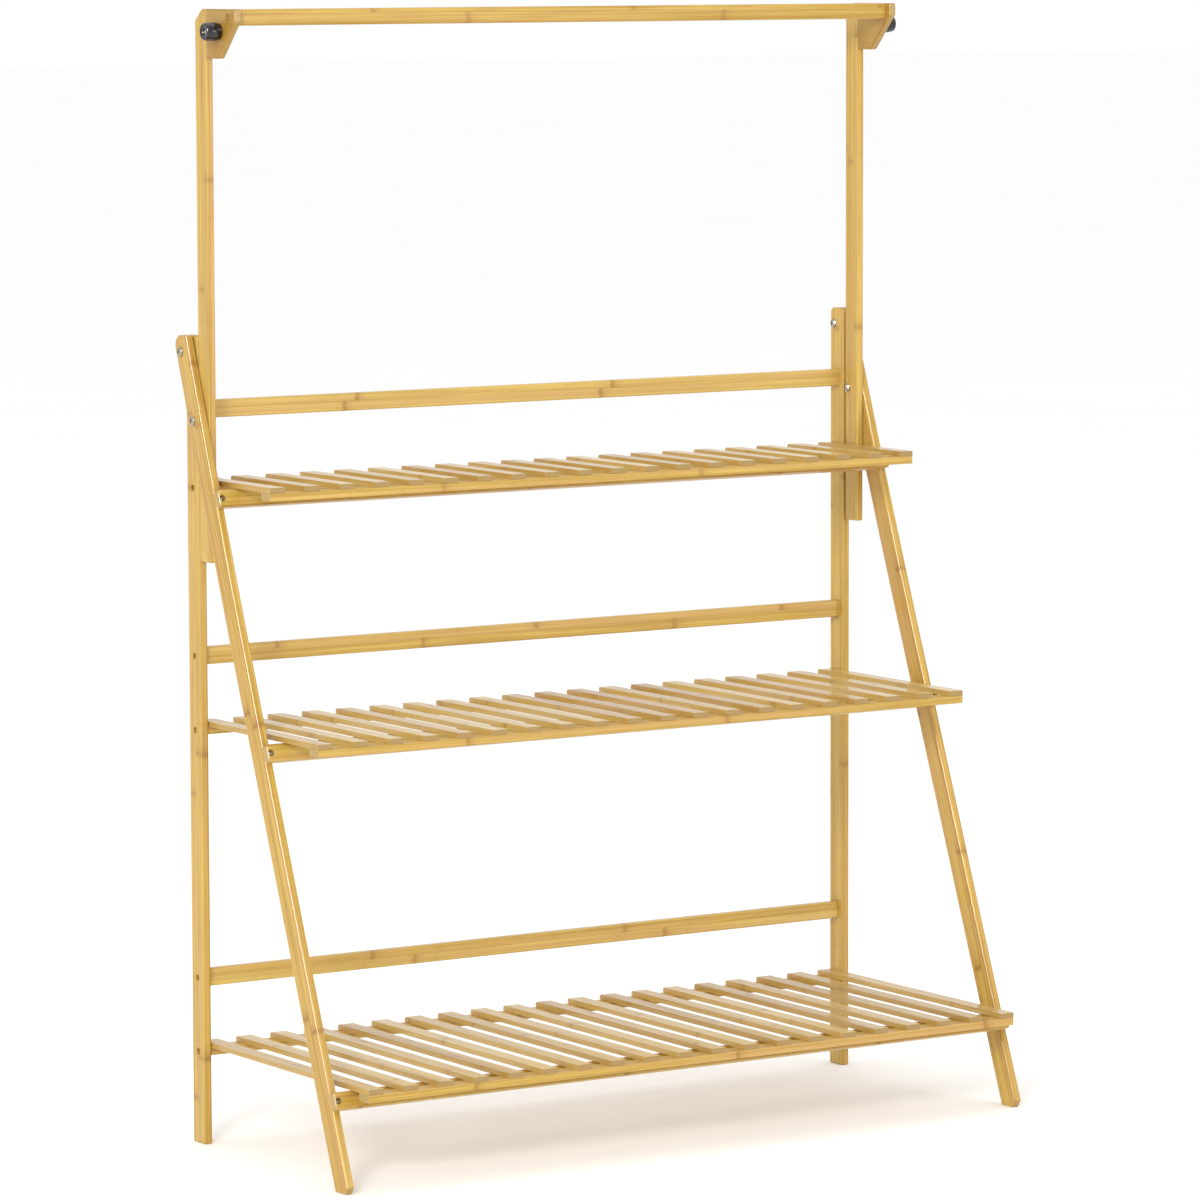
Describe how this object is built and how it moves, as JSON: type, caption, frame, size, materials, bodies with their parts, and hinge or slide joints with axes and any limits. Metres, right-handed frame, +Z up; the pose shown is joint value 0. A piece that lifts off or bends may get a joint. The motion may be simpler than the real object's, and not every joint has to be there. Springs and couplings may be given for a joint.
{
  "type": "ladder shelf",
  "caption": "Folding bamboo ladder shelf: leaning front legs, slatted shelves that get deeper downwards, and tall posts with brackets that carry a hanging rod.",
  "frame": {"origin": "on the floor, under the middle of the outline", "axes": "+Z up, -Y to the front where the shelves stand out, X across the width"},
  "size_m": [1.0208, 0.4147, 1.403],
  "materials": {
    "bamboo": "clear semi-gloss lacquer over honey-coloured laminated bamboo",
    "bamboo_slats": "clear satin lacquer over laminated bamboo",
    "beech": "plain fluted dowel wood",
    "zinc_steel": "bright zinc plated",
    "brass": "machined",
    "nylon": "natural nylon",
    "black_plastic": "glossy moulded"
  },
  "bodies": {
    "rear_frame": {"rear_leg_left": "bamboo", "rear_leg_right": "bamboo", "upper_back_rail": "bamboo", "middle_back_rail": "bamboo", "lower_back_rail": "bamboo", "back_rail_screws": "zinc_steel", "pivot_bolts": "zinc_steel", "pivot_nuts": "zinc_steel", "pivot_washers": "nylon"},
    "front_frame": {"front_leg_left": "bamboo", "front_leg_right": "bamboo", "upper_support_rail": "bamboo", "middle_support_rail": "bamboo", "lower_support_rail": "bamboo", "support_rail_screws": "zinc_steel", "stay_bolts": "zinc_steel"},
    "hanging_frame": {"post_left": "bamboo", "post_right": "bamboo", "bracket_left": "bamboo", "bracket_right": "bamboo", "bracket_dowels": "beech", "hanging_rod": "bamboo", "rod_screws": "zinc_steel", "stay_nuts": "zinc_steel", "knob_inserts": "brass"},
    "top_shelf": {"top_shelf_rear_strip": "bamboo", "top_shelf_front_strip": "bamboo", "top_shelf_slats": "bamboo_slats", "top_shelf_pivot_screws": "zinc_steel"},
    "middle_shelf": {"middle_shelf_rear_strip": "bamboo", "middle_shelf_front_strip": "bamboo", "middle_shelf_slats": "bamboo_slats", "middle_shelf_pivot_screws": "zinc_steel"},
    "bottom_shelf": {"bottom_shelf_rear_strip": "bamboo", "bottom_shelf_front_strip": "bamboo", "bottom_shelf_slats": "bamboo_slats", "bottom_shelf_pivot_screws": "zinc_steel"},
    "knob_left": {"knob_left": "black_plastic", "knob_screw_left": "zinc_steel"},
    "knob_right": {"knob_right": "black_plastic", "knob_screw_right": "zinc_steel"}
  },
  "joints": [
    {"name": "frame_fold", "type": "hinge", "parent": "rear_frame", "child": "front_frame", "pos_m": [0, 0.1926, 0.9845], "axis": [1, 0, 0], "range_deg": [0, 18.4]},
    {"name": "hanging_frame_lift", "type": "slide", "parent": "rear_frame", "child": "hanging_frame", "axis": [0, 0, 1], "range_m": [0, 0.26]},
    {"name": "top_shelf_tilt", "type": "hinge", "parent": "rear_frame", "child": "top_shelf", "pos_m": [0, 0.186, 0.817], "axis": [-1, 0, 0], "range_deg": [0, 62]},
    {"name": "middle_shelf_tilt", "type": "hinge", "parent": "rear_frame", "child": "middle_shelf", "pos_m": [0, 0.186, 0.517], "axis": [-1, 0, 0], "range_deg": [0, 74]},
    {"name": "bottom_shelf_tilt", "type": "hinge", "parent": "rear_frame", "child": "bottom_shelf", "pos_m": [0, 0.186, 0.1155], "axis": [-1, 0, 0], "range_deg": [0, 74]},
    {"name": "knob_left_turn", "type": "hinge", "parent": "hanging_frame", "child": "knob_left", "pos_m": [-0.5, 0.1095, 1.376], "axis": [-1, 0, 0], "continuous": true},
    {"name": "knob_right_turn", "type": "hinge", "parent": "hanging_frame", "child": "knob_right", "pos_m": [0.5, 0.1095, 1.376], "axis": [1, 0, 0], "continuous": true}
  ],
  "couplings": [
    {"joint": "hanging_frame_lift", "follows": "frame_fold", "m_per_rad": 0.78}
  ]
}
